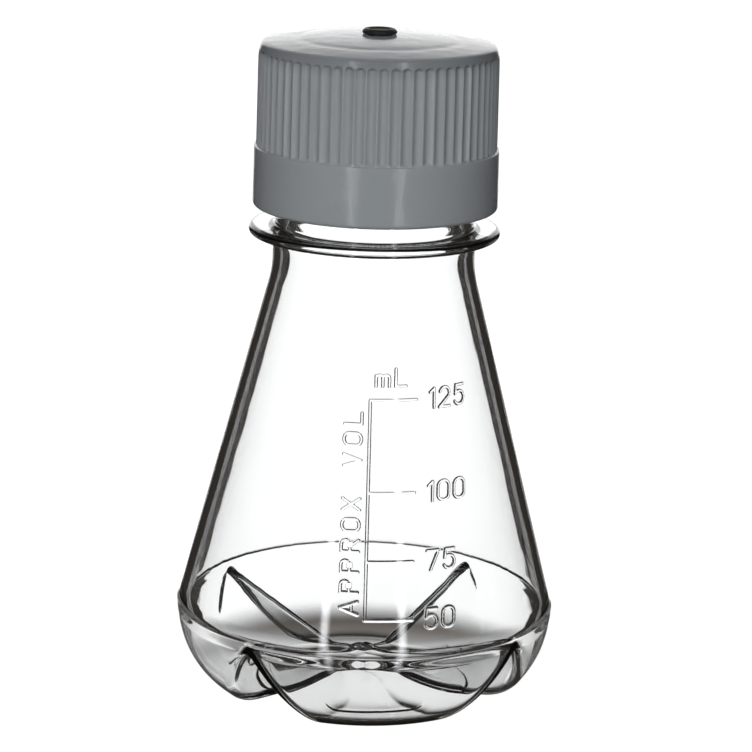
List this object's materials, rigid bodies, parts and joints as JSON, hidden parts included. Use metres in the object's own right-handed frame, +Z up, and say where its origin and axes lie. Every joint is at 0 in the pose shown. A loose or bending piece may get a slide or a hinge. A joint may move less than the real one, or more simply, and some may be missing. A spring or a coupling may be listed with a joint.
{
  "type": "erlenmeyer flask",
  "caption": "Clear plastic conical shake flask with a folded baffled base, raised volume scale and a ribbed grey screw cap with a vent plug.",
  "frame": {"origin": "centre of the circle the four feet stand on", "axes": "+Z up the flask's axis to the cap, -Y towards the foot below the volume scale"},
  "size_m": [0.0676, 0.0676, 0.1196],
  "materials": {
    "clear_plastic": "clear, polished, colourless",
    "grey_plastic": "satin moulded polyolefin",
    "liner_foam": "smooth closed-cell foam",
    "membrane": "matt microporous film",
    "natural_plastic": "satin, uncoloured",
    "black_rubber": "satin moulded rubber"
  },
  "bodies": {
    "flask": {"flask_body": "clear_plastic"},
    "liner": {"seal_liner": "liner_foam"},
    "cap": {"cap_shell": "grey_plastic", "vent_membrane": "membrane", "membrane_ring": "natural_plastic"},
    "plug": {"vent_plug": "black_rubber"}
  },
  "joints": [
    {"name": "cap_lift", "type": "slide", "parent": "flask", "child": "liner", "axis": [0, 0, 1], "range_m": [0, 0.0265]},
    {"name": "cap_turn", "type": "hinge", "parent": "liner", "child": "cap", "pos_m": [0, 0, 0.1], "axis": [0, 0, 1], "range_deg": [0, 2250]},
    {"name": "plug_pull", "type": "slide", "parent": "cap", "child": "plug", "axis": [0, 0, 1], "range_m": [0, 0.008]}
  ],
  "couplings": [
    {"joint": "cap_lift", "follows": "cap_turn", "m_per_rad": 0.00067376}
  ]
}
